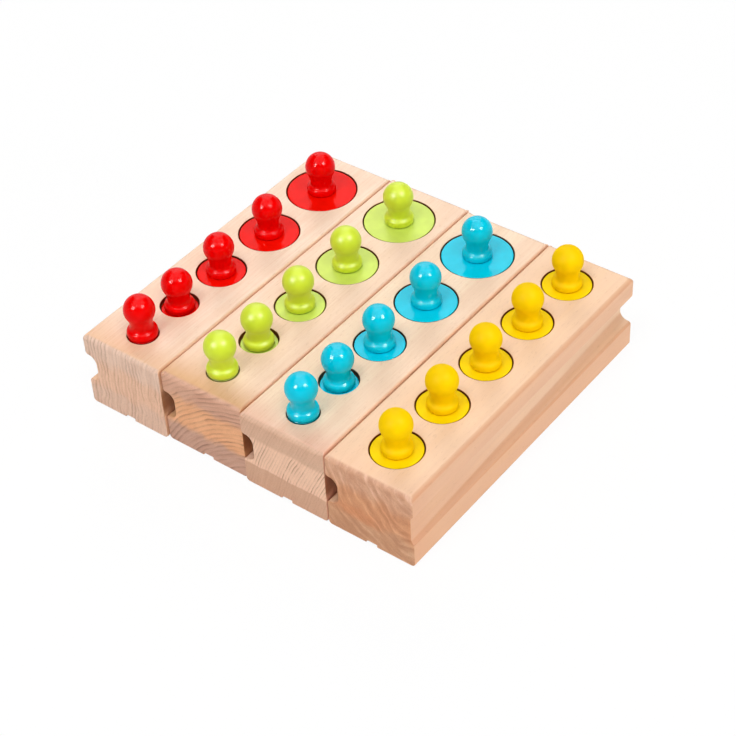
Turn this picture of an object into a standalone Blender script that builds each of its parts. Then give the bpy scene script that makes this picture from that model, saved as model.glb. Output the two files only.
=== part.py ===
"""A set of four knobbed cylinder blocks.

Four wooden blocks stand side by side along X, each BLOCK_LENGTH long in Y. Five blind sockets are
bored in each block, and a painted cylinder stands in every socket. A turned knob is glued into the
top of each cylinder by its tenon, so that a child can lift the cylinder out. The set rests on Z = 0
with the middle of its box over the origin. All sizes are in metres.
"""

import math

import bmesh
import bpy
from mathutils import Matrix

# Blocks
BLOCK_LENGTH = 0.150
BLOCK_WIDTH = 0.0397
BLOCK_HEIGHT = 0.035
BLOCK_GAP = 0.0004
GREEN_SETBACK = 0.001
TOP_EDGE_RADIUS = 0.0022
BOTTOM_EDGE_RADIUS = 0.0016
END_EDGE_RADIUS = 0.0012

# Finger groove along the side of a block, its middle measured down from the block's top. The groove on
# the right of the last block runs out to a shallow recess at its near end.
GROOVE_HEIGHT = 0.0128
GROOVE_DEPTH = 0.0052
GROOVE_SHALLOW_DEPTH = 0.0013
GROOVE_DROP = 0.0165
GROOVE_CORNER_RADIUS = 0.0036
GROOVE_LIP_RADIUS = 0.0014

# Relief slot along the underside of a block
SLOT_WIDTH = 0.005
SLOT_DEPTH = 0.0012

# Cylinders, in the order in which they stand from the near end of a block
GRADED_DIAMETERS = (0.012, 0.015, 0.020, 0.025, 0.0295)
GRADED_RECESSES = (0.0, 0.0016, 0.0004, 0.0003, 0.0003)
EVEN_DIAMETER = 0.020
EVEN_RECESS = 0.0004
SHORT_HEIGHT = 0.007
TALL_HEIGHT = 0.023
CYLINDER_EDGE = 0.0006

# Knobs, measured up from the underside of the foot
BALL_RADIUS = 0.00635
BALL_HEIGHT = 0.012
NECK_RADIUS = 0.00455
FOOT_RADIUS = 0.0062
FOOT_SHOULDER_HEIGHT = 0.0016
FOOT_SHOULDER_RADIUS = 0.0018
FOOT_COVE_RADIUS = 0.0016
FOOT_EDGE_RADIUS = 0.0007
TENON_RADIUS = 0.0025
TENON_LENGTH = 0.0045

# Clearances, and the least wood left beside a groove
SOCKET_CLEARANCE = 0.00035
SEAT_GAP = 0.0003
GLUE_GAP = 0.0003
GROOVE_WALL = 0.0015

# Facets, and the distances at which points merge and cutters stand proud
ROUND_STEPS = 24
KNOB_STEPS = 14
CORNER_STEPS = 3
END_STEPS = 2
GROOVE_STEPS = 4
LIP_STEPS = 2
BALL_STEPS = 6
COVE_STEPS = 3
FOOT_COVE_STEPS = 3
SHOULDER_STEPS = 3
FOOT_STEPS = 2
SHARP_ANGLE = 40
MERGE_DISTANCE = 1e-6
CUTTER_MARGIN = 0.002

WOOD_COLOUR = (0.89, 0.66, 0.46)
WOOD_ROUGHNESS = 0.55
PAINT_ROUGHNESS = 0.25
PAINT_COLOURS = {
    "red": (0.82, 0.003, 0.004),
    "green": (0.58, 0.73, 0.03),
    "blue": (0.002, 0.56, 0.74),
    "yellow": (0.98, 0.62, 0.001),
}
WEIGHT_NAME = "bevel_weight_edge"
SET_NAME = "knobbed_cylinder_blocks"


def arc(centre, radius, start, stop, steps):
    """Points from start to stop, in degrees, on a circle about centre, both ends included."""
    points = []
    for step in range(steps + 1):
        angle = math.radians(start + (stop - start) * step / steps)
        points.append((centre[0] + radius * math.cos(angle), centre[1] + radius * math.sin(angle)))
    return points


def add_material(name, colour, roughness):
    """A wood or paint finish, which is never metallic."""
    material = bpy.data.materials.new(name)
    material.use_nodes = True
    shader = material.node_tree.nodes["Principled BSDF"]
    shader.inputs["Base Color"].default_value = (*colour, 1.0)
    shader.inputs["Roughness"].default_value = roughness
    shader.inputs["Metallic"].default_value = 0.0
    material.diffuse_color = (*colour, 1.0)
    return material


def add_object(name, mesh, collection, parent=None, location=(0, 0, 0)):
    thing = bpy.data.objects.new(name, mesh)
    thing.parent = parent
    thing.location = location
    collection.objects.link(thing)
    return thing


def shade_round(mesh):
    mesh.shade_smooth()
    mesh.set_sharp_from_angle(angle=math.radians(SHARP_ANGLE))


def distinct(points):
    """The points of an outline, without any that repeats the one before it."""
    steps = zip(points, points[1:])
    return points[:1] + [point for before, point in steps if math.dist(before, point) > MERGE_DISTANCE]


def groove_corner():
    """Radius of a groove's inner corners, which the groove's depth and height can limit."""
    return min(GROOVE_CORNER_RADIUS, GROOVE_DEPTH - GROOVE_LIP_RADIUS, GROOVE_HEIGHT / 2)


def groove_outline(side, depth):
    """The groove in a block's right (side = 1) or left (side = -1) face, anticlockwise.

    At full depth its walls are level. Where it is shallower, they slope between the same roundings.
    """
    middle = BLOCK_HEIGHT - GROOVE_DROP
    face = BLOCK_WIDTH / 2
    lip = GROOVE_LIP_RADIUS
    corner = groove_corner()
    rounds = lip + corner
    wall = GROOVE_DEPTH - rounds
    slope = math.acos((rounds - depth) / math.hypot(rounds, wall)) - math.atan2(wall, rounds)
    degrees = math.degrees(slope)
    lip_x = face - lip
    lip_rise = GROOVE_HEIGHT / 2 + lip
    corner_x = face - depth + corner
    corner_rise = lip_rise - rounds * math.sin(slope) - wall * math.cos(slope)
    points = arc((lip_x, middle - lip_rise), lip, 0, degrees, LIP_STEPS)
    points += arc((corner_x, middle - corner_rise), corner, 180 + degrees, 180, GROOVE_STEPS)
    points += arc((corner_x, middle + corner_rise), corner, 180, 180 - degrees, GROOVE_STEPS)
    points += arc((lip_x, middle + lip_rise), lip, -degrees, 0, LIP_STEPS)
    if side > 0:
        return points
    return [(-x, z) for x, z in reversed(points)]


def block_outline(right_depth):
    """The end view of a block, anticlockwise from the relief slot, with X across and Z up.

    The groove on the right is right_depth deep there, and is left out for zero.
    """
    face = BLOCK_WIDTH / 2
    low = BOTTOM_EDGE_RADIUS
    high = BLOCK_HEIGHT - TOP_EDGE_RADIUS
    half_slot = SLOT_WIDTH / 2
    points = [(-half_slot, 0), (-half_slot, SLOT_DEPTH), (half_slot, SLOT_DEPTH), (half_slot, 0)]
    points += arc((face - low, low), low, -90, 0, CORNER_STEPS)
    if right_depth:
        points += groove_outline(1, right_depth)
    points += arc((face - TOP_EDGE_RADIUS, high), TOP_EDGE_RADIUS, 0, 90, CORNER_STEPS)
    points += arc((TOP_EDGE_RADIUS - face, high), TOP_EDGE_RADIUS, 90, 180, CORNER_STEPS)
    points += groove_outline(-1, GROOVE_DEPTH)
    points += arc((low - face, low), low, 180, 270, CORNER_STEPS)
    return distinct(points)


def join_outlines(name, near, far, length):
    """A mesh between two outlines in X and Z of as many points, one at each end of a length along Y.

    The edges around its ends are marked for easing.
    """
    model = bmesh.new()
    weights = model.edges.layers.float.new(WEIGHT_NAME)
    rings = []
    for outline, y in ((near, -length / 2), (far, length / 2)):
        rings.append([model.verts.new((x, y, z)) for x, z in outline])
    count = len(near)
    for index in range(count):
        other = (index + 1) % count
        model.faces.new((rings[0][index], rings[0][other], rings[1][other], rings[1][index]))
    for ring in rings:
        for edge in model.faces.new(ring).edges:
            edge[weights] = 1.0
    bmesh.ops.recalc_face_normals(model, faces=model.faces)
    mesh = bpy.data.meshes.new(name)
    model.to_mesh(mesh)
    model.free()
    return mesh


def turn(name, profile, steps, collection, parent, location):
    """A turned piece: a profile of (radius, height) points, swept once around Z."""
    mesh = bpy.data.meshes.new(name)
    points = [(radius, 0, height) for radius, height in profile]
    links = [(index, index + 1) for index in range(len(points) - 1)]
    mesh.from_pydata(points, links, [])
    piece = add_object(name, mesh, collection, parent, location)
    screw = piece.modifiers.new("Turn", "SCREW")
    screw.axis = "Z"
    screw.steps = steps
    screw.render_steps = steps
    screw.use_merge_vertices = True
    screw.merge_threshold = MERGE_DISTANCE
    screw.use_smooth_shade = True
    return piece


def cylinder_profile(radius, height):
    """A cylinder with eased edges and a bore for the knob's tenon, from the bore's floor outwards."""
    bore = TENON_RADIUS + GLUE_GAP
    return [
        (0, height - TENON_LENGTH),
        (bore, height - TENON_LENGTH),
        (bore, height),
        (radius - CYLINDER_EDGE, height),
        (radius, height - CYLINDER_EDGE),
        (radius, CYLINDER_EDGE),
        (radius - CYLINDER_EDGE, 0),
        (0, 0),
    ]


def knob_profile():
    """A ball, its neck and a round-shouldered foot, each tangent to the next, then the tenon.

    The neck is slimmest just above the foot, where the long cove below the ball meets the foot's cove.
    """
    shoulder = (FOOT_RADIUS - FOOT_SHOULDER_RADIUS, FOOT_SHOULDER_HEIGHT)
    low_x = NECK_RADIUS + FOOT_COVE_RADIUS
    low_rise = math.sqrt((FOOT_SHOULDER_RADIUS + FOOT_COVE_RADIUS) ** 2 - (low_x - shoulder[0]) ** 2)
    foot_angle = math.degrees(math.atan2(low_rise, low_x - shoulder[0]))
    waist = FOOT_SHOULDER_HEIGHT + low_rise
    fall = BALL_HEIGHT - waist
    cove = (fall ** 2 / (BALL_RADIUS - NECK_RADIUS) - BALL_RADIUS - NECK_RADIUS) / 2
    cove_x = NECK_RADIUS + cove
    ball_angle = -math.degrees(math.atan2(fall, cove_x))
    edge = (FOOT_RADIUS - FOOT_EDGE_RADIUS, FOOT_EDGE_RADIUS)
    points = [(0, BALL_HEIGHT + BALL_RADIUS)]
    points += arc((0, BALL_HEIGHT), BALL_RADIUS, 90, ball_angle, BALL_STEPS)[1:]
    points += arc((cove_x, waist), cove, 180 + ball_angle, 180, COVE_STEPS)
    points += arc((low_x, waist), FOOT_COVE_RADIUS, 180, 180 + foot_angle, FOOT_COVE_STEPS)
    points += arc(shoulder, FOOT_SHOULDER_RADIUS, foot_angle, 0, SHOULDER_STEPS)
    points += arc(edge, FOOT_EDGE_RADIUS, 0, -90, FOOT_STEPS)
    points += [(TENON_RADIUS, 0), (TENON_RADIUS, -TENON_LENGTH), (0, -TENON_LENGTH)]
    return distinct(points)


def height_above_groove(diameter, recess):
    """The tallest cylinder of a diameter whose socket leaves a wall to the finger groove.

    A socket that is clear of the groove on plan can be as deep as the tallest.
    """
    corner = groove_corner()
    socket_edge = BLOCK_WIDTH / 2 - diameter / 2 - SOCKET_CLEARANCE
    beside = socket_edge - GROOVE_DEPTH + corner
    needed = corner + GROOVE_WALL
    if beside >= needed:
        return TALL_HEIGHT
    corner_drop = GROOVE_DROP - GROOVE_HEIGHT / 2 + corner
    floor_drop = corner_drop - math.sqrt(needed ** 2 - max(beside, 0) ** 2)
    return min(TALL_HEIGHT, floor_drop - SEAT_GAP - recess)


def graded(first, last):
    """One value for each cylinder of a row, in even steps from first to last."""
    count = len(GRADED_DIAMETERS)
    return [first + (last - first) * index / (count - 1) for index in range(count)]


def socket_places(diameters):
    """Middles along Y of a row of sockets with equal webs between them and at the block's ends."""
    bores = [diameter + 2 * SOCKET_CLEARANCE for diameter in diameters]
    web = (BLOCK_LENGTH - sum(bores)) / (len(bores) + 1)
    places = []
    reach = -BLOCK_LENGTH / 2
    for bore in bores:
        places.append(reach + web + bore / 2)
        reach += web + bore
    return places


def add_socket_cutter(name, sockets, collection, parent):
    """One cutter for all the sockets of a block. A socket is its place, its radius and its floor."""
    above = BLOCK_HEIGHT + CUTTER_MARGIN
    model = bmesh.new()
    for place, radius, floor in sockets:
        bmesh.ops.create_cone(
            model,
            cap_ends=True,
            segments=ROUND_STEPS,
            radius1=radius,
            radius2=radius,
            depth=above - floor,
            matrix=Matrix.Translation((0, place, (above + floor) / 2)),
        )
    mesh = bpy.data.meshes.new(name)
    model.to_mesh(mesh)
    model.free()
    cutter = add_object(name, mesh, collection, parent)
    cutter.hide_render = True
    cutter.display_type = "WIRE"
    return cutter


def add_block(colour, place, right_depths, row, wood, parts, cutters):
    """A block with its side groove or grooves, its slot and its sockets."""
    name = colour + "_block"
    near, far = map(block_outline, right_depths)
    mesh = join_outlines(name, near, far, BLOCK_LENGTH)
    shade_round(mesh)
    mesh.materials.append(wood)
    block = add_object(name, mesh, parts, location=place)
    bevel = block.modifiers.new("Eased ends", "BEVEL")
    bevel.limit_method = "WEIGHT"
    bevel.width = END_EDGE_RADIUS
    bevel.segments = END_STEPS
    bevel.use_clamp_overlap = False
    sockets = []
    for place_y, diameter, height, recess in row:
        floor = BLOCK_HEIGHT - recess - height - SEAT_GAP
        sockets.append((place_y, diameter / 2 + SOCKET_CLEARANCE, floor))
    cut = block.modifiers.new("Sockets", "BOOLEAN")
    cut.operation = "DIFFERENCE"
    cut.solver = "EXACT"
    cut.object = add_socket_cutter(colour + "_sockets", sockets, cutters, block)
    return block


def add_pegs(colour, block, row, paint, parts):
    """A cylinder for each socket of a block, and the knob in each cylinder's bore."""
    for number, (place_y, diameter, height, recess) in enumerate(row, start=1):
        seat = (0, place_y, BLOCK_HEIGHT - recess - height)
        profile = cylinder_profile(diameter / 2, height)
        cylinder = turn(f"{colour}_cylinder_{number}", profile, ROUND_STEPS, parts, block, seat)
        cylinder.data.materials.append(paint)
        top = (0, 0, height + GLUE_GAP)
        knob = turn(f"{colour}_knob_{number}", knob_profile(), KNOB_STEPS, parts, cylinder, top)
        knob.data.materials.append(paint)


def block_rows():
    """The cylinders of each block as (place along Y, diameter, height, recess of the top)."""
    wide = height_above_groove(GRADED_DIAMETERS[-1], GRADED_RECESSES[-1])
    count = len(GRADED_DIAMETERS)
    even = [EVEN_DIAMETER] * count
    heights = {
        "red": graded(SHORT_HEIGHT, wide),
        "green": graded(TALL_HEIGHT, wide),
        "blue": graded(wide, wide),
        "yellow": graded(wide, TALL_HEIGHT),
    }
    rows = {}
    for colour, row_heights in heights.items():
        diameters = even if colour == "yellow" else GRADED_DIAMETERS
        recesses = [EVEN_RECESS] * count if colour == "yellow" else GRADED_RECESSES
        limits = map(height_above_groove, diameters, recesses)
        row_heights = map(min, row_heights, limits)
        rows[colour] = list(zip(socket_places(diameters), diameters, row_heights, recesses))
    return rows


def main():
    for thing in list(bpy.data.objects):
        bpy.data.objects.remove(thing)
    parts = bpy.data.collections.new(SET_NAME)
    cutters = bpy.data.collections.new(SET_NAME + "_cutters")
    for collection in (parts, cutters):
        bpy.context.scene.collection.children.link(collection)

    wood = add_material("beech_wood", WOOD_COLOUR, WOOD_ROUGHNESS)
    rows = block_rows()
    pitch = BLOCK_WIDTH + BLOCK_GAP
    for index, (colour, row) in enumerate(rows.items()):
        across = (index - (len(rows) - 1) / 2) * pitch
        back = GREEN_SETBACK / 2 if colour == "green" else -GREEN_SETBACK / 2
        last = index == len(rows) - 1
        right_depths = (GROOVE_SHALLOW_DEPTH, GROOVE_DEPTH) if last else (0, 0)
        block = add_block(colour, (across, back, 0), right_depths, row, wood, parts, cutters)
        paint = add_material(colour + "_paint", PAINT_COLOURS[colour], PAINT_ROUGHNESS)
        add_pegs(colour, block, row, paint, parts)


main()
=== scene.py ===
"""Looks for a set of four knobbed cylinder blocks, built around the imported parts. Sizes are in metres."""

import math
from collections import namedtuple

import bmesh
import bpy
from mathutils import Matrix, Vector


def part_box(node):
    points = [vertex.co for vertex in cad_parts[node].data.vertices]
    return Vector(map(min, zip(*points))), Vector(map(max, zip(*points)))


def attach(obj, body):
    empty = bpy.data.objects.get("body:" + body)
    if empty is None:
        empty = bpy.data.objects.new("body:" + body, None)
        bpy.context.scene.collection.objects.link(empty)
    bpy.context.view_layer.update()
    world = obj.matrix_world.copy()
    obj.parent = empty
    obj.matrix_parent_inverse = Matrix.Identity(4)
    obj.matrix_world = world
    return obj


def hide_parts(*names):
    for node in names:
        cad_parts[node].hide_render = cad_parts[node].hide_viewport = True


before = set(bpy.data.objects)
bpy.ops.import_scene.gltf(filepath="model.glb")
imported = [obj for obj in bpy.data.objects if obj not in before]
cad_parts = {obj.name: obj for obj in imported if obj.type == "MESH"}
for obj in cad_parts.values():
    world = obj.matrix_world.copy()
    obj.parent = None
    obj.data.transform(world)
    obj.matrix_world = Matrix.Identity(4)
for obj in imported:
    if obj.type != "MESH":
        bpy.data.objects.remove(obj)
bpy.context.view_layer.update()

COLOURS = ("red", "green", "blue", "yellow")
COUNT = 5

# Blocks: the roundings of their long edges, how far their end edges are eased, and the cuts below and at the sides
OUTER_EDGE = 0.0022
INNER_EDGE = 0.0013
BOTTOM_EDGE = 0.0016
EASE_TOP = 0.0024
EASE_SIDE = 0.0005
EASE_GROOVE = 0.0005
SLOT_WIDTH = 0.005
SLOT_DEPTH = 0.0012
GROOVE_HEIGHT = 0.0128
GROOVE_DEPTH = 0.0052
GROOVE_SHALLOW = 0.0013
GROOVE_MIDDLE = 0.0185
GROOVE_CORNER = 0.0036
GROOVE_LIP = 0.0014

# Sockets and cylinders
SOCKET_GAP = 0.00045
SOCKET_RIM = 0.0003
SEAT_GAP = 0.0003
CYLINDER_RIM = 0.0004
CUTTER_RISE = 0.002

# Knobs, measured up from the underside of the foot
BALL_RADIUS = 0.00635
BALL_HEIGHT = 0.012
NECK_RADIUS = 0.00455
FOOT_RADIUS = 0.0062
SHOULDER_HEIGHT = 0.0016
SHOULDER_RADIUS = 0.0018
FOOT_COVE = 0.0016
FOOT_EDGE = 0.0007
GLUE_GAP = 0.0003
CREASE = 0.00005

# Facets, and the angle in degrees past which an edge is sharp
ARC_STEPS = 8
EASE_STEPS = 6
RIM_STEPS = 4
SOCKET_STEPS = 96
KNOB_STEPS = 64
BALL_STEPS = 22
COVE_STEPS = 9
FOOT_STEPS = 8
LENGTH_STEPS = 12
SHARP_ANGLE = 35


def arc(x, z, radius, start, stop, steps):
    """Points from start to stop, in degrees, on a circle about (x, z), both ends included."""
    points = []
    for step in range(steps + 1):
        angle = math.radians(start + (stop - start) * step / steps)
        points.append((x + radius * math.cos(angle), z + radius * math.sin(angle)))
    return points


def eased(points, first, last=None):
    """The points with how far the block's ends are eased at each, changing smoothly from first to last."""
    last = first if last is None else last
    result = []
    for index, (x, z) in enumerate(points):
        share = index / (len(points) - 1)
        share *= share * (3 - 2 * share)
        result.append((x, z, first + (last - first) * share))
    return result


def groove_points(half, side, depth):
    """A groove in the right (side = 1) or left (side = -1) face, anticlockwise. A shallow one has sloping walls."""
    rounds = GROOVE_LIP + GROOVE_CORNER
    wall = GROOVE_DEPTH - rounds
    slope = math.acos((rounds - depth) / math.hypot(rounds, wall)) - math.atan2(wall, rounds)
    degrees = math.degrees(slope)
    lip_x = half - GROOVE_LIP
    lip_rise = GROOVE_HEIGHT / 2 + GROOVE_LIP
    corner_x = half - depth + GROOVE_CORNER
    corner_rise = lip_rise - rounds * math.sin(slope) - wall * math.cos(slope)
    points = arc(lip_x, GROOVE_MIDDLE - lip_rise, GROOVE_LIP, 0, degrees, ARC_STEPS)
    points += arc(corner_x, GROOVE_MIDDLE - corner_rise, GROOVE_CORNER, 180 + degrees, 180, ARC_STEPS)
    points += arc(corner_x, GROOVE_MIDDLE + corner_rise, GROOVE_CORNER, 180, 180 - degrees, ARC_STEPS)
    points += arc(lip_x, GROOVE_MIDDLE + lip_rise, GROOVE_LIP, -degrees, 0, ARC_STEPS)
    if side < 0:
        points = [(-x, z) for x, z in reversed(points)]
    return points


def block_outline(half, height, right_depth, left_edge, right_edge):
    """A block's end view as (x, z, ease), anticlockwise from the relief slot."""
    slot = SLOT_WIDTH / 2
    low = BOTTOM_EDGE
    points = eased([(-slot, 0), (-slot, SLOT_DEPTH), (slot, SLOT_DEPTH), (slot, 0)], EASE_GROOVE)
    points += eased(arc(half - low, low, low, -90, 0, ARC_STEPS), EASE_GROOVE, EASE_SIDE)
    if right_depth:
        points += eased(groove_points(half, 1, right_depth), EASE_GROOVE)
    edge = right_edge
    points += eased(arc(half - edge, height - edge, edge, 0, 90, ARC_STEPS), EASE_SIDE, EASE_TOP)
    edge = left_edge
    points += eased(arc(edge - half, height - edge, edge, 90, 180, ARC_STEPS), EASE_TOP, EASE_SIDE)
    points += eased(groove_points(half, -1, GROOVE_DEPTH), EASE_GROOVE)
    points += eased(arc(low - half, low, low, 180, 270, ARC_STEPS), EASE_SIDE, EASE_GROOVE)
    return points


def inward_ways(points):
    """For each point of an anticlockwise outline, the way in which both of its sides move inwards by one."""
    ways = []
    for index, (x, z, _) in enumerate(points):
        before = points[index - 1]
        after = points[(index + 1) % len(points)]
        first = Vector((before[1] - z, x - before[0])).normalized()
        second = Vector((z - after[1], after[0] - x)).normalized()
        ways.append((first + second) / (1 + first.dot(second)))
    return ways


def end_rings(points, end, length):
    """The outlines from an end's flat face to where its easing starts, as lists of (x, y, z)."""
    ways = inward_ways(points)
    rings = []
    for step in range(EASE_STEPS + 1):
        turned = math.radians(90 * step / EASE_STEPS)
        inset = 1 - math.sin(turned)
        back = 1 - math.cos(turned)
        ring = []
        for (x, z, ease), way in zip(points, ways):
            y = end * (length / 2 - ease * back)
            ring.append(Vector((x + way.x * ease * inset, y, z + way.y * ease * inset)))
        rings.append(ring)
    return rings


def block_mesh(name, length, near_points, far_points):
    """A block with eased ends, about its own middle on plan and standing on zero."""
    near = end_rings(near_points, -1, length)
    far = end_rings(far_points, 1, length)
    between = []
    for step in range(1, LENGTH_STEPS):
        share = step / LENGTH_STEPS
        between.append([first.lerp(last, share) for first, last in zip(near[-1], far[-1])])
    model = bmesh.new()
    rings = [[model.verts.new(spot) for spot in ring] for ring in near + between + far[::-1]]
    count = len(near_points)
    for ring, following in zip(rings, rings[1:]):
        for index in range(count):
            other = (index + 1) % count
            model.faces.new((ring[index], ring[other], following[other], following[index]))
    model.faces.new(rings[0])
    model.faces.new(rings[-1])
    bmesh.ops.recalc_face_normals(model, faces=model.faces)
    mesh = bpy.data.meshes.new(name)
    model.to_mesh(mesh)
    model.free()
    return mesh


def turn(model, profile, steps, place=(0, 0, 0)):
    """Adds a closed turned solid to model: (radius, height) points, from the axis at one end to the other."""
    rings = []
    for radius, height in profile:
        if radius == 0:
            rings.append([model.verts.new((place[0], place[1], place[2] + height))])
            continue
        ring = []
        for step in range(steps):
            angle = 2 * math.pi * step / steps
            spot = (radius * math.cos(angle), radius * math.sin(angle), height)
            ring.append(model.verts.new(Vector(spot) + Vector(place)))
        rings.append(ring)
    faces = []
    for ring, following in zip(rings, rings[1:]):
        for step in range(steps):
            other = (step + 1) % steps
            corners = [ring[step % len(ring)], ring[other % len(ring)]]
            corners += [following[other % len(following)], following[step % len(following)]]
            unique = [vert for index, vert in enumerate(corners) if vert not in corners[:index]]
            faces.append(model.faces.new(unique))
    bmesh.ops.recalc_face_normals(model, faces=faces)


def socket_profile(radius, floor, height):
    """The cutter of a socket, with a rim that is slightly rounded, from its floor up."""
    rim = arc(radius + SOCKET_RIM, height - SOCKET_RIM, SOCKET_RIM, 180, 90, RIM_STEPS)
    top = height + CUTTER_RISE
    return [(0, floor), (radius, floor)] + rim + [(radius + SOCKET_RIM, top), (0, top)]


def cylinder_profile(radius, height):
    """A cylinder with rounded edges and its top at zero, from its underside up."""
    inner = radius - CYLINDER_RIM
    low = arc(inner, CYLINDER_RIM - height, CYLINDER_RIM, -90, 0, RIM_STEPS)
    high = arc(inner, -CYLINDER_RIM, CYLINDER_RIM, 0, 90, RIM_STEPS)
    return [(0, -height)] + low + high + [(0, 0)]


def knob_profile():
    """A ball, a neck that is slimmest just above the foot, and a round-shouldered foot, from the top down.

    Each is tangent to the next.
    """
    shoulder_x = FOOT_RADIUS - SHOULDER_RADIUS
    low_x = NECK_RADIUS + FOOT_COVE
    low_rise = math.sqrt((SHOULDER_RADIUS + FOOT_COVE) ** 2 - (low_x - shoulder_x) ** 2)
    foot_angle = math.degrees(math.atan2(low_rise, low_x - shoulder_x))
    waist = SHOULDER_HEIGHT + low_rise
    fall = BALL_HEIGHT - waist
    cove = (fall ** 2 / (BALL_RADIUS - NECK_RADIUS) - BALL_RADIUS - NECK_RADIUS) / 2
    cove_x = NECK_RADIUS + cove
    ball_angle = -math.degrees(math.atan2(fall, cove_x))
    edge_x = FOOT_RADIUS - FOOT_EDGE
    seat = CREASE - GLUE_GAP
    points = [(0, BALL_HEIGHT + BALL_RADIUS)]
    points += arc(0, BALL_HEIGHT, BALL_RADIUS, 90, ball_angle, BALL_STEPS)[1:]
    points += arc(cove_x, waist, cove, 180 + ball_angle, 180, COVE_STEPS)[1:]
    points += arc(low_x, waist, FOOT_COVE, 180, 180 + foot_angle, COVE_STEPS)[1:]
    points += arc(shoulder_x, SHOULDER_HEIGHT, SHOULDER_RADIUS, foot_angle, 0, FOOT_STEPS)[1:]
    points += arc(edge_x, FOOT_EDGE, FOOT_EDGE, 0, -90, FOOT_STEPS)
    return points + [(edge_x, seat), (0, seat)]


def add_piece(name, mesh, place, material, body, node):
    """Puts a finished mesh in the scene as what shows for a part."""
    mesh.shade_smooth()
    mesh.set_sharp_from_angle(angle=math.radians(SHARP_ANGLE))
    mesh.materials.append(material)
    piece = bpy.data.objects.new(name, mesh)
    piece.location = place
    bpy.context.scene.collection.objects.link(piece)
    normals = piece.modifiers.new("Even shading", "WEIGHTED_NORMAL")
    normals.keep_sharp = True
    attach(piece, body)
    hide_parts(node)


def turned_mesh(name, profile, steps):
    """A mesh of one turned solid."""
    model = bmesh.new()
    turn(model, profile, steps)
    mesh = bpy.data.meshes.new(name)
    model.to_mesh(mesh)
    model.free()
    return mesh


def cut_sockets(mesh, sockets, height):
    """The block's mesh with a socket at each (place along Y, radius, floor)."""
    model = bmesh.new()
    for place, radius, floor in sockets:
        turn(model, socket_profile(radius, floor, height), SOCKET_STEPS, (0, place, 0))
    tool = bpy.data.meshes.new("sockets")
    model.to_mesh(tool)
    model.free()
    cutter = bpy.data.objects.new("sockets", tool)
    blank = bpy.data.objects.new("blank", mesh)
    for thing in (cutter, blank):
        bpy.context.scene.collection.objects.link(thing)
    cut = blank.modifiers.new("Sockets", "BOOLEAN")
    cut.operation = "DIFFERENCE"
    cut.solver = "EXACT"
    cut.object = cutter
    graph = bpy.context.evaluated_depsgraph_get()
    result = bpy.data.meshes.new_from_object(blank.evaluated_get(graph))
    for thing in (cutter, blank):
        bpy.data.objects.remove(thing)
    return result


class Shader:
    """A material's nodes, added one call at a time."""

    def __init__(self, name):
        self.material = bpy.data.materials.new(name)
        self.material.use_nodes = True
        self.tree = self.material.node_tree
        self.surface = self.tree.nodes["Principled BSDF"]

    def add(self, kind, inputs, **settings):
        node = self.tree.nodes.new(kind)
        for key, value in settings.items():
            setattr(node, key, value)
        for key, value in inputs.items():
            self.put(node.inputs[key], value)
        return node

    def put(self, socket, value):
        if isinstance(value, bpy.types.NodeSocket):
            self.tree.links.new(value, socket)
        else:
            socket.default_value = value

    def math(self, operation, *values):
        return self.add("ShaderNodeMath", dict(enumerate(values)), operation=operation).outputs[0]

    def vector(self, operation, *values):
        return self.add("ShaderNodeVectorMath", dict(enumerate(values)), operation=operation).outputs[0]

    def times(self, first, *others):
        """The product of all the values."""
        for other in others:
            first = self.math("MULTIPLY", first, other)
        return first

    def noise(self, vector, cells, detail=2.0, roughness=0.5, output=0):
        """Noise with that many cells per millimetre along each axis."""
        scaled = self.vector("MULTIPLY", vector, cells)
        inputs = {"Vector": scaled, "Scale": 1.0, "Detail": detail, "Roughness": roughness}
        return self.add("ShaderNodeTexNoise", inputs).outputs[output]

    def span(self, value, low, high, start=0.0, end=1.0):
        """A smooth change from start to end as value goes from low to high."""
        inputs = {0: value, 1: low, 2: high, 3: start, 4: end}
        return self.add("ShaderNodeMapRange", inputs, interpolation_type="SMOOTHSTEP").outputs[0]

    def band(self, value, rise, fall):
        """One between two spans of value, each a (low, high), and zero outside them."""
        return self.times(self.span(value, *rise), self.span(value, *fall, 1, 0))

    def pattern(self, vector, kind):
        """The strength of a Pattern."""
        return self.span(self.noise(vector, *kind.noise), *kind.span)

    def mix(self, factor, first, second, blend="MIX"):
        inputs = {0: factor, 6: first, 7: second}
        return self.add("ShaderNodeMix", inputs, data_type="RGBA", blend_type=blend).outputs[2]

    def tinted(self, share, colour, tint):
        """The colour, multiplied by tint as far as share goes."""
        return self.mix(share, colour, self.mix(1.0, colour, tint, "MULTIPLY"))

    def ramp(self, value, stops):
        """Greys between stops, each a (place, level)."""
        node = self.add("ShaderNodeValToRGB", {0: value})
        elements = node.color_ramp.elements
        while len(elements) < len(stops):
            elements.new(0.5)
        for element, (place, level) in zip(elements, stops):
            element.position = place
            element.color = (level, level, level, 1)
        return node.outputs[0]

    def set(self, **values):
        """Sets inputs of the surface, with _ in place of each space in their names."""
        for key, value in values.items():
            self.put(self.surface.inputs[key.replace("_", " ")], value)


def rgb(red, green, blue):
    return (red, green, blue, 1.0)


# The materials' places and sizes are in millimetres. A pattern is noise, given by its cells per millimetre along X, Y
# and Z, its detail and its roughness, and a span: two levels of that noise, then the pattern's strength at each.
MILLIMETRES = 1000
Pattern = namedtuple("Pattern", "noise span")

# One ring of growth: pale early wood, then a darker late line that ends sharply
RING = ((0.0, 0.25), (0.18, 0.0), (0.55, 0.22), (0.84, 1.0), (0.93, 0.95), (1.0, 0.25))

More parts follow.
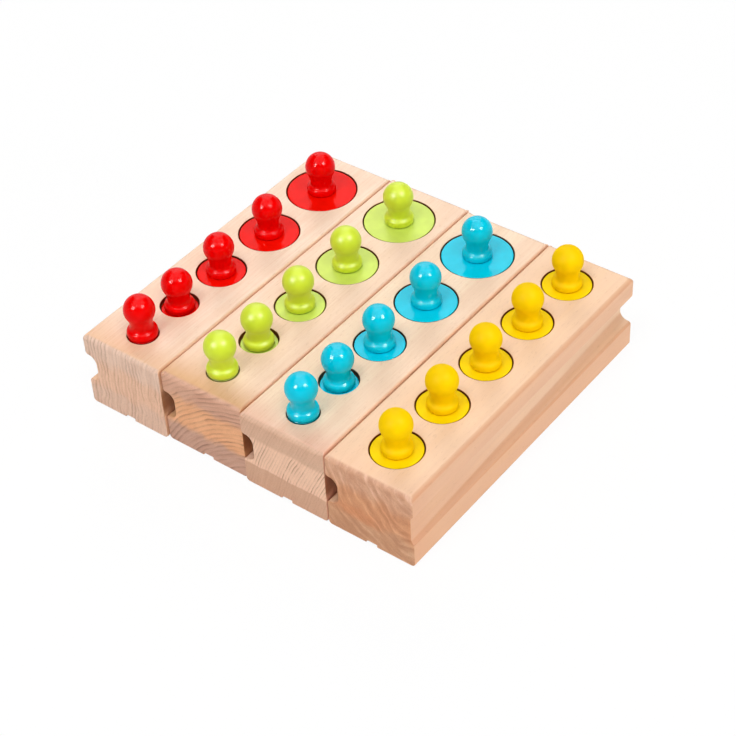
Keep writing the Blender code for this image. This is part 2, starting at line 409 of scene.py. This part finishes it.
# Where each block was cut from its log: a shift of its noise, the pith in its end view, and how wide the rings are and
# how far and how finely they bend. An end has a low, a middle and a high zone, whose borders are more or less soft,
# each with its colour and the strength of its rings; line is what a ring multiplies that by. Streaks flow along the
# rings. The long grain is pale to warm, with a darker strip to the right of an X, where the block reaches that far,
# and it is tinted towards the near end. A patch has its middle, and its half width and half height.
WOODS = {
    "red": dict(
        shift=(11, 40, 5), pith=(-150, 25), rings=1.8, warp=2.4, warp_cells=0.11, soft=2.5,
        low=rgb(0.80, 0.545, 0.41), mid=rgb(0.85, 0.545, 0.38), high=rgb(0.82, 0.58, 0.45),
        lines=(0.80, 0.80, 0.75), line=rgb(0.62, 0.54, 0.50), flow=(0.7, 0.02, 16.0), streaks=0.55,
        pale=rgb(0.90, 0.725, 0.575), warm=rgb(0.87, 0.66, 0.495), strip=30.0, tint=rgb(0.93, 0.80, 0.68),
    ),
    "green": dict(
        shift=(57, 13, 23), pith=(34, -32), rings=2.0, warp=1.3, warp_cells=0.08, soft=2.2,
        low=rgb(0.62, 0.365, 0.265), mid=rgb(0.87, 0.455, 0.24), high=rgb(0.70, 0.395, 0.27),
        lines=(0.90, 1.0, 0.95), line=rgb(0.49, 0.41, 0.37), flow=(0.8, 0.02, 6.0), streaks=0.5,
        pale=rgb(0.92, 0.70, 0.545), warm=rgb(0.89, 0.64, 0.475), strip=10.5, tint=rgb(0.78, 0.62, 0.43),
    ),
    "blue": dict(
        shift=(91, 77, 41), pith=(138, -41), rings=1.25, warp=0.7, warp_cells=0.10, soft=0.5,
        low=rgb(0.67, 0.395, 0.262), mid=rgb(0.91, 0.60, 0.425), high=rgb(0.71, 0.44, 0.30),
        lines=(0.25, 1.0, 0.30), line=rgb(0.55, 0.46, 0.42), flow=(0.6, 0.02, 12.0), streaks=0.25,
        pale=rgb(0.90, 0.705, 0.52), warm=rgb(0.87, 0.65, 0.46), strip=9.5, tint=rgb(0.90, 0.75, 0.74),
    ),
    "yellow": dict(
        shift=(33, 120, 67), pith=(26, 42), rings=4.2, warp=7.0, warp_cells=0.05, soft=2.5,
        low=rgb(0.62, 0.325, 0.18), mid=rgb(0.66, 0.305, 0.15), high=rgb(0.71, 0.39, 0.24),
        lines=(0.95, 0.95, 0.85), line=rgb(1.22, 1.40, 1.58), flow=(0.45, 0.02, 5.0), streaks=0.9,
        pale=rgb(0.86, 0.595, 0.395), warm=rgb(0.82, 0.54, 0.335), strip=30.0, tint=rgb(0.98, 0.93, 0.92),
        patch=((-5.0, 13.5), (9.0, 4.0)),
    ),
}

# Rings
WARP_ALONG = 0.008
FADE = Pattern(((0.13, 0.02, 0.13), 2.0, 0.6), (0.35, 0.6, 0.35, 1.0))
LUCK_SPAN = (0.0, 1.0, 0.3, 1.0)
FLOW_TEXTURE = (3.0, 0.6)
FLOW_SPAN = (0.35, 0.7)
FLOW_COLOUR = rgb(0.80, 0.71, 0.66)

# Long grain
STREAK = Pattern(((0.16, 0.004, 0.16), 3.0, 0.5), (0.3, 0.7, 0.0, 1.0))
CLOUD = Pattern(((0.09, 0.03, 0.09), 3.0, 0.6), (0.35, 0.65, 0.0, 0.42))
FIBRE = Pattern(((1.3, 0.025, 1.3), 4.0, 0.6), (0.35, 0.75, 0.0, 0.58))
FLECK = Pattern(((2.8, 0.4, 2.8), 1.0, 0.5), (0.63, 0.72, 0.0, 1.0))
FLECK_SHARE = 0.34
RING_SHARE = 0.09
STRIP_SHARE = 0.45
STRIP_BLUR = 0.5
NEAR_END = (-75, -58)
FLECK_COLOUR = rgb(0.62, 0.38, 0.24)
FIBRE_COLOUR = rgb(0.80, 0.54, 0.375)
STRIP_COLOUR = rgb(0.86, 0.60, 0.45)
# Painted shade on faces that look sideways
SIDE_SHADE_COLOUR = rgb(0.97, 0.86, 0.82)

# End grain
ZONE_LOW = 11.0
ZONE_HIGH = 25.0
ZONE_NOISE = ((0.12, 0.02, 0.12), 3.0, 0.5)
ZONE_WOBBLE = 4
HIGH_BLUR = 0.7
PATCH = Pattern(((0.22, 0.05, 0.22), 4.0, 0.7), (1.2, 3.0, 0.8, 0.0))
PATCH_RAGGED = 3.0
PORE = Pattern(((1.9, 0.05, 1.9), 3.0, 0.6), (0.45, 0.8, 0.0, 0.35))
PATCH_COLOUR = rgb(0.66, 0.27, 0.12)
PORE_COLOUR = rgb(0.55, 0.47, 0.43)

# How far a surface faces an end, a side, a long edge, the right or up: where that begins to count and where it is full
END_FACING = (0.2, 0.7)
SIDE_FACING = (0.3, 0.9)
EDGE_FACING = (0.12, 0.42)
RIGHT_FACING = (0.7, 0.9)
UP_FACING = (0.2, 0.6)

# Painted shade on the long edges, in the left groove, on right faces near the ends, in the bores and at their mouths,
# painted light in the right groove: where each begins and ends, and what it multiplies the colour by
LEFT_CUT = ((-19.7, -19.3), (-14.4, -14.0))
RIGHT_CUT = ((14.0, 14.4), (16.0, 18.4))
CUT_LEVEL = ((10.5, 11.5), (25.5, 26.5))
FACING_SHADE_ENDS = (62, 75)
FACING_SHADE_LEVEL = ((11, 16), (22, 27))
BORE_WIDENS = (25.3, 25.5)
DEEP_BORE_REACH = 13.8
BORE_REACH = 15.6
BORE_ENDS = 73.0
BORE_FLOOR = 5.0
MOUTH_LEVEL = (32.6, 33.6)
OUTER_EDGE_SHADE_COLOUR = rgb(0.88, 0.78, 0.72)
INNER_EDGE_SHADE_COLOUR = rgb(1.0, 0.97, 0.94)
LEFT_GROOVE_SHADE_COLOUR = rgb(0.52, 0.36, 0.26)
RIGHT_GROOVE_LIGHT_COLOUR = rgb(1.07, 1.22, 1.32)
FACING_SHADE_COLOUR = rgb(0.56, 0.40, 0.30)
BORE_SHADE_COLOUR = rgb(0.62, 0.46, 0.35)
MOUTH_SHADE_COLOUR = rgb(0.36, 0.22, 0.16)

# The wood's surface
RING_RELIEF = -0.8
FLECK_RELIEF = -0.7
WOOD_BUMP = {"Strength": 0.35, "Distance": 0.00012}
WOOD_ROUGHNESS = (0.2, 0.8, 0.46, 0.62)
WOOD_GLOSS = 0.15


class Wood(Shader):
    """Pale sanded wood: rings about the pith, fibres along the block, and darker, crisper end grain."""

    def __init__(self, name, look, outer):
        super().__init__(name)
        self.look = look
        spot = self.add("ShaderNodeTexCoord", {}).outputs
        self.place = self.vector("MULTIPLY", spot["Object"], (MILLIMETRES,) * 3)
        self.moved = self.vector("ADD", self.place, look["shift"])
        self.x, self.y, self.z = self.add("ShaderNodeSeparateXYZ", {0: self.place}).outputs
        self.face_x, self.face_y, self.face_z = self.add("ShaderNodeSeparateXYZ", {0: spot["Normal"]}).outputs
        self.sideways = self.math("ABSOLUTE", self.face_x)
        self.on_end = self.span(self.math("ABSOLUTE", self.face_y), *END_FACING)
        self.off_end = self.math("SUBTRACT", 1.0, self.on_end)
        self.fibre = self.noise(self.moved, *FIBRE.noise)
        self.fleck = self.pattern(self.moved, FLECK)
        self.ring, self.flow = self.growth()
        colour = self.mix(self.on_end, self.long_grain(), self.end_grain())
        bump = self.add("ShaderNodeBump", {**WOOD_BUMP, "Height": self.relief()})
        self.set(Base_Color=self.worked(colour, outer), Roughness=self.span(self.fibre, *WOOD_ROUGHNESS))
        self.set(Specular_IOR_Level=WOOD_GLOSS, Normal=bump.outputs[0])

    def growth(self):
        """The rings about the pith, bent by slow noise, and the noise of the streaks that flow along them."""
        look = self.look
        cells = look["warp_cells"]
        bend = self.noise(self.moved, (cells, WARP_ALONG, cells), output=1)
        bend = self.vector("SUBTRACT", bend, (0.5, 0.5, 0.5))
        bend = self.vector("MULTIPLY", bend, (look["warp"] * 2,) * 3)
        pith_x, pith_z = look["pith"]
        from_pith = self.vector("SUBTRACT", self.vector("ADD", self.place, bend), (pith_x, 0, pith_z))
        flat = self.vector("MULTIPLY", from_pith, (1, 0, 1))
        radius = self.add("ShaderNodeVectorMath", {0: flat}, operation="LENGTH").outputs["Value"]
        phase = self.math("DIVIDE", radius, look["rings"])
        year = self.math("FLOOR", phase)
        luck = self.add("ShaderNodeTexWhiteNoise", {"W": year}, noise_dimensions="1D").outputs["Value"]
        ring = self.ramp(self.math("FRACT", phase), RING)
        ring = self.times(ring, self.span(luck, *LUCK_SPAN), self.pattern(self.moved, FADE))
        flat_axes = self.add("ShaderNodeSeparateXYZ", {0: flat}).outputs
        bearing = self.math("ARCTAN2", flat_axes[2], flat_axes[0])
        turned = self.add("ShaderNodeCombineXYZ", {0: radius, 1: self.y, 2: bearing}).outputs[0]
        return ring, self.noise(turned, look["flow"], *FLOW_TEXTURE)

    def long_grain(self):
        """The colour of the top, the underside and the sides."""
        look = self.look
        colour = self.mix(self.pattern(self.moved, STREAK), look["pale"], look["warm"])
        strip = self.span(self.x, look["strip"] - STRIP_BLUR, look["strip"] + STRIP_BLUR, 0, STRIP_SHARE)
        colour = self.mix(strip, colour, STRIP_COLOUR)
        colour = self.mix(self.pattern(self.moved, CLOUD), colour, FIBRE_COLOUR)
        colour = self.mix(self.span(self.fibre, *FIBRE.span), colour, FIBRE_COLOUR)
        colour = self.mix(self.times(self.ring, RING_SHARE), colour, FLECK_COLOUR)
        colour = self.mix(self.times(self.fleck, FLECK_SHARE), colour, FLECK_COLOUR)
        colour = self.tinted(self.span(self.y, *NEAR_END, 1, 0), colour, look["tint"])
        # Painted shade: faces that look sideways are tinted darker and pinker than the top
        return self.tinted(self.span(self.sideways, *SIDE_FACING), colour, SIDE_SHADE_COLOUR)

    def end_grain(self):
        """The colour of the ends."""
        look = self.look
        soft = look["soft"]
        wobble = self.math("SUBTRACT", self.noise(self.moved, *ZONE_NOISE), 0.5)
        zone = self.math("MULTIPLY_ADD", wobble, soft * ZONE_WOBBLE, self.z)
        above_low = self.span(zone, ZONE_LOW - soft, ZONE_LOW + soft)
        above_mid = self.span(zone, ZONE_HIGH - soft - HIGH_BLUR, ZONE_HIGH + soft + HIGH_BLUR)
        colour = self.mix(above_mid, self.mix(above_low, look["low"], look["mid"]), look["high"])
        low_lines, mid_lines, high_lines = look["lines"]
        crisp = self.math("MULTIPLY_ADD", above_low, mid_lines - low_lines, low_lines)
        crisp = self.math("MULTIPLY_ADD", above_mid, high_lines - mid_lines, crisp)
        if "patch" in look:
            colour = self.mix(self.patch(*look["patch"]), colour, PATCH_COLOUR)
        colour = self.tinted(self.span(self.flow, *FLOW_SPAN, 0, look["streaks"]), colour, FLOW_COLOUR)
        colour = self.tinted(self.times(self.ring, crisp), colour, look["line"])
        return self.tinted(self.pattern(self.moved, PORE), colour, PORE_COLOUR)

    def patch(self, middle, size):
        """How far a ragged patch of an end covers each place."""
        reaches = []
        for axis, centre, half in zip((self.x, self.z), middle, size):
            away = self.math("DIVIDE", self.math("SUBTRACT", axis, centre), half)
            reaches.append(self.math("POWER", away, 2.0))
        ragged = self.noise(self.moved, *PATCH.noise)
        return self.span(self.math("MULTIPLY_ADD", ragged, PATCH_RAGGED, self.math("ADD", *reaches)), *PATCH.span)

    def worked(self, colour, outer):
        """The colour with painted shade on the long edges, in the left groove, on right faces near the ends and in
        the bores, and painted light in the right groove.
        """
        # Painted shade: rounded long edges that face partly sideways and partly up are darkened, strongest on the last
        # block
        edge = self.span(self.times(self.sideways, self.face_z), *EDGE_FACING)
        colour = self.tinted(edge, colour, OUTER_EDGE_SHADE_COLOUR if outer else INNER_EDGE_SHADE_COLOUR)
        wall = self.span(self.face_z, *UP_FACING, 1, 0)
        level = self.band(self.z, *CUT_LEVEL)
        # Painted shade inside the left groove, on its walls between the lips and away from the ends
        left = self.times(self.band(self.x, *LEFT_CUT), self.off_end, level, wall)
        colour = self.tinted(left, colour, LEFT_GROOVE_SHADE_COLOUR)
        from_middle = self.math("ABSOLUTE", self.y)
        # Painted shade on a right face near the ends, at the height of the next block's groove, which lies against it
        if not outer:
            facing_shade = self.times(self.span(self.face_x, *RIGHT_FACING), self.span(from_middle, *FACING_SHADE_ENDS))
            colour = self.tinted(self.times(facing_shade, self.band(self.z, *FACING_SHADE_LEVEL)), colour, FACING_SHADE_COLOUR)
        # Painted light in the right groove, lifting the shade inside it
        right = self.times(self.band(self.x, *RIGHT_CUT), level, self.off_end)
        colour = self.tinted(right, colour, RIGHT_GROOVE_LIGHT_COLOUR)
        # Painted shade on the socket walls, darkest just below their mouths
        reach = self.span(self.z, *BORE_WIDENS, DEEP_BORE_REACH, BORE_REACH)
        bore_shade = self.math("LESS_THAN", self.math("ABSOLUTE", self.x), reach)
        bore_shade = self.times(bore_shade, self.math("LESS_THAN", from_middle, BORE_ENDS), wall)
        bore_shade = self.times(bore_shade, self.math("GREATER_THAN", self.z, BORE_FLOOR))
        colour = self.tinted(bore_shade, colour, BORE_SHADE_COLOUR)
        return self.tinted(self.times(bore_shade, self.span(self.z, *MOUTH_LEVEL)), colour, MOUTH_SHADE_COLOUR)

    def relief(self):
        """Heights for the bump: fibres on the long grain, sunk rings on the ends and sunk flecks."""
        height = self.times(self.fibre, self.off_end)
        height = self.math("ADD", height, self.times(self.ring, self.on_end, RING_RELIEF))
        return self.math("ADD", height, self.times(self.fleck, FLECK_RELIEF))


# Each colour's roughness, its soft bloom, and the colour and gloss of its knobs and of its cylinders
PAINTS = {
    # A cylinder's colour differs a little from its knob's though both have one paint: that difference is painted
    # light, for how the cylinder tops show under the lamps
    "red": dict(roughness=0.12, knob=(rgb(0.88, 0.0003, 0.0003), 0.07), cylinder=(rgb(0.91, 0.004, 0.0005), 0.05)),
    "green": dict(roughness=0.38, knob=(rgb(0.64, 0.78, 0.018), 0.25), cylinder=(rgb(0.59, 0.74, 0.09), 0.20),
                  bloom=0.35, bloom_colour=rgb(0.95, 1.0, 0.45)),
    "blue": dict(roughness=0.10, knob=(rgb(0.0002, 0.59, 0.78), 0.14), cylinder=(rgb(0.0003, 0.61, 0.80), 0.13)),
    "yellow": dict(roughness=0.46, knob=(rgb(0.98, 0.62, 0.0002), 0.02), cylinder=(rgb(0.98, 0.70, 0.0003), 0.02),
                   bloom=0.3, bloom_colour=rgb(1.0, 0.72, 0.003)),
}

# What every lacquer has; the rim's painted shade lies at a level measured up from a cylinder's top or the underside of
# a foot
BLOOM_ROUGHNESS = 0.5
TONE = Pattern(((0.14, 0.14, 0.14), 2.0, 0.5), (0.3, 0.7, 0.1, 0.0))
PEEL_NOISE = ((0.8, 0.8, 0.8), 2.0, 0.4)
PEEL_BUMP = {"Strength": 0.12, "Distance": 0.00005}
HAZE_NOISE = ((0.5, 0.5, 0.5), 2.0, 0.5)
HAZE_SPAN = (0.3, 0.7)
SMOOTHER = 0.03
ROUGHER = 0.04
RIM_SHADE_LEVEL = ((-0.65, -0.4), (-0.2, -0.06))
RIM_SHADE_COLOUR = rgb(0.36, 0.2, 0.18)


def paint(name, look, part):
    """Lacquer on turned wood: nearly even, with faint runs of tone, a fine orange peel and a dark line of painted
    shade at a rim.
    """
    made = Shader(name)
    spot = made.add("ShaderNodeTexCoord", {})
    place = made.vector("MULTIPLY", spot.outputs["Object"], (MILLIMETRES,) * 3)
    height = made.add("ShaderNodeSeparateXYZ", {0: place}).outputs[2]
    colour, gloss = look[part]
    base = made.mix(made.pattern(place, TONE), colour, rgb(0, 0, 0))
    # Painted shade: a dark line where a cylinder's rim meets the gap round it, and at the underside of a knob's foot
    base = made.tinted(made.band(height, *RIM_SHADE_LEVEL), base, RIM_SHADE_COLOUR)
    bump = made.add("ShaderNodeBump", {**PEEL_BUMP, "Height": made.noise(place, *PEEL_NOISE)})
    haze = made.noise(place, *HAZE_NOISE)
    middle = look["roughness"]
    made.set(Base_Color=base, Roughness=made.span(haze, *HAZE_SPAN, middle - SMOOTHER, middle + ROUGHER))
    made.set(Specular_IOR_Level=gloss, Normal=bump.outputs[0])
    if "bloom" in look:
        made.set(Sheen_Weight=look["bloom"], Sheen_Roughness=BLOOM_ROUGHNESS, Sheen_Tint=look["bloom_colour"])
    return made.material


def add_pegs(colour, home):
    """A block's cylinders and knobs. Returns the sockets for them, as (place along Y, radius, floor)."""
    lacquers = {part: paint(f"{colour}_{part}_lacquer", PAINTS[colour], part) for part in ("cylinder", "knob")}
    knob_shape = knob_profile()
    sockets = []
    for number in range(1, COUNT + 1):
        peg = f"{colour}_peg_{number}"
        node = f"{colour}_cylinder_{number}"
        low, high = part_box(node)
        radius = (high.x - low.x) / 2
        middle = (low + high) / 2
        sockets.append((middle.y - home.y, radius + SOCKET_GAP, low.z - SEAT_GAP - home.z))
        mesh = turned_mesh(node + "_shown", cylinder_profile(radius, high.z - low.z), SOCKET_STEPS)
        seat = (middle.x, middle.y, high.z)
        add_piece(node + "_shown", mesh, seat, lacquers["cylinder"], peg, node)
        node = f"{colour}_knob_{number}"
        mesh = turned_mesh(node + "_shown", knob_shape, KNOB_STEPS)
        seat = (middle.x, middle.y, high.z + GLUE_GAP)
        add_piece(node + "_shown", mesh, seat, lacquers["knob"], peg, node)
    return sockets


def add_block(colour):
    """A block and what stands in it, each piece in the place of its node."""
    body = colour + "_block"
    low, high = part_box(body)
    middle = (low + high) / 2
    home = Vector((middle.x, middle.y, low.z))
    half = (high.x - low.x) / 2
    height = high.z - low.z
    sockets = add_pegs(colour, home)
    first = colour == COLOURS[0]
    last = colour == COLOURS[-1]
    edges = (OUTER_EDGE if first else INNER_EDGE, OUTER_EDGE if last else INNER_EDGE)
    depths = (GROOVE_SHALLOW, GROOVE_DEPTH) if last else (0, 0)
    outlines = [block_outline(half, height, depth, *edges) for depth in depths]
    blank = block_mesh(body + "_shown", high.y - low.y, *outlines)
    mesh = cut_sockets(blank, sockets, height)
    mesh.name = body + "_shown"
    timber = Wood(colour + "_block_wood", WOODS[colour], last).material
    add_piece(body + "_shown", mesh, home, timber, body, body)


# The camera, as found from the blocks' corners: degrees, metres, and pixels of a square picture
CAMERA_AZIMUTH = 39.286
CAMERA_ELEVATION = 41.599
CAMERA_ROLL = -3.389
CAMERA_DISTANCE = 0.762639
CAMERA_ACROSS = -0.002115
CAMERA_UP = 0.011809
CAMERA_TARGET = Vector((0, 0, 0.0175))
FOCAL_PIXELS = 1902.774
PICTURE_PIXELS = 736
SENSOR = 36.0
CLIP_START = 0.01
CLIP_END = 100


def add_camera():
    """The camera at the place and with the turn that the numbers above give."""
    around = math.radians(CAMERA_AZIMUTH)
    above = math.radians(CAMERA_ELEVATION)
    back = Vector((math.sin(around) * math.cos(above), -math.cos(around) * math.cos(above), math.sin(above)))
    right = Vector((math.cos(around), math.sin(around), 0))
    up = back.cross(right)
    roll = math.radians(CAMERA_ROLL)
    turned_right = right * math.cos(roll) + up * math.sin(roll)
    turned_up = up * math.cos(roll) - right * math.sin(roll)
    place = CAMERA_TARGET - turned_right * CAMERA_ACROSS - turned_up * CAMERA_UP + back * CAMERA_DISTANCE
    data = bpy.data.cameras.new("camera")
    data.sensor_fit = "HORIZONTAL"
    data.sensor_width = SENSOR
    data.lens = FOCAL_PIXELS * SENSOR / PICTURE_PIXELS
    data.clip_start = CLIP_START
    data.clip_end = CLIP_END
    camera = bpy.data.objects.new("camera", data)
    axes = Matrix((turned_right, turned_up, back)).transposed()
    camera.matrix_world = Matrix.Translation(place) @ axes.to_4x4()
    bpy.context.scene.collection.objects.link(camera)
    bpy.context.scene.camera = camera


# Lamps: name, degrees around from the camera's side of the set (right is positive), degrees up, distance, size,
# how bright they make a white surface that faces them, and whether matt and glossy surfaces show them
LAMPS = (
    ("key_softbox", -40, 63, 2.6, 0.8, 0.31, True, False),
    ("fill_softbox", 26, 63, 2.6, 0.8, 0.20, True, False),
    ("ceiling", 0, 90, 2.4, 2.6, 0.42, True, False),
    ("back_softbox", 180, 28, 2.4, 1.2, 0.32, True, False),
    ("low_left", -39, 20, 1.8, 1.0, 0.09, True, False),
    ("low_front", 10, 22, 1.8, 1.0, 0.11, True, False),
    ("low_right", 62, 8, 2.2, 0.5, 0.24, True, False),
    ("left_panel", -52, 40, 1.8, 0.65, 2.2, False, True),
    ("right_panel", 48, 50, 1.8, 0.6, 1.7, False, True),
    ("top_panel", 0, 90, 2.2, 3.2, 2.4, False, True),
    ("back_panel", 180, 42, 1.5, 1.2, 0.6, False, True),
)
WORLD_LEVEL = 0.10
FLOOR_RADIUS = 6.0
WALL_HEIGHT = 2.4
WALL_STEPS = 96
FLOOR_DROP = 0.0001
FLOOR_COLOUR = rgb(0.93, 0.93, 0.925)
FLOOR_LIFT = 0.92


def add_lights():
    """The lamps, all turned to the middle of the set, and an even pale world."""
    for name, around, above, distance, size, level, matt, glossy in LAMPS:
        data = bpy.data.lights.new(name, "AREA")
        data.shape = "SQUARE"
        data.size = size
        data.energy = level * (math.pi * distance) ** 2
        lamp = bpy.data.objects.new(name, data)
        plan = math.radians(CAMERA_AZIMUTH + around)
        rise = math.radians(above)
        way = Vector((math.sin(plan) * math.cos(rise), -math.cos(plan) * math.cos(rise), math.sin(rise)))
        lamp.location = CAMERA_TARGET + way * distance
        lamp.rotation_euler = way.to_track_quat("Z", "Y").to_euler()
        lamp.visible_camera = False
        lamp.visible_diffuse = matt
        lamp.visible_glossy = glossy
        bpy.context.scene.collection.objects.link(lamp)
    world = bpy.data.worlds.new("studio")
    world.use_nodes = True
    background = world.node_tree.nodes["Background"]
    background.inputs["Color"].default_value = rgb(1, 1, 1)
    background.inputs["Strength"].default_value = WORLD_LEVEL
    bpy.context.scene.world = world


def add_floor():
    """A plain white floor inside a round wall.

    Seen directly or in a reflection they are lifted towards white, and the floor keeps its shadow.
    """
    model = bmesh.new()
    low, high = [], []
    for step in range(WALL_STEPS):
        angle = 2 * math.pi * step / WALL_STEPS
        x, y = FLOOR_RADIUS * math.cos(angle), FLOOR_RADIUS * math.sin(angle)
        low.append(model.verts.new((x, y, 0)))
        high.append(model.verts.new((x, y, WALL_HEIGHT)))
    model.faces.new(low)
    for step in range(WALL_STEPS):
        model.faces.new((low[step], high[step], high[step - 1], low[step - 1]))
    mesh = bpy.data.meshes.new("floor")
    model.to_mesh(mesh)
    model.free()
    floor = bpy.data.objects.new("floor", mesh)
    floor.location = (0, 0, -FLOOR_DROP)
    bpy.context.scene.collection.objects.link(floor)
    made = Shader("floor_white")
    tree = made.tree
    tree.nodes.remove(made.surface)
    matt = made.add("ShaderNodeBsdfDiffuse", {"Color": FLOOR_COLOUR})
    glow = made.add("ShaderNodeEmission", {"Strength": 1.0})
    path = made.add("ShaderNodeLightPath", {}).outputs
    seen = made.math("MAXIMUM", path["Is Camera Ray"], path["Is Glossy Ray"])
    seen = made.math("MAXIMUM", seen, path["Is Transmission Ray"])
    share = made.math("MULTIPLY", seen, FLOOR_LIFT)
    both = made.add("ShaderNodeMixShader", {0: share, 1: matt.outputs[0], 2: glow.outputs[0]})
    tree.links.new(both.outputs[0], tree.nodes["Material Output"].inputs["Surface"])
    mesh.materials.append(made.material)


for colour in COLOURS:
    add_block(colour)
add_camera()
add_lights()
add_floor()
bpy.context.scene.view_settings.view_transform = "Standard"
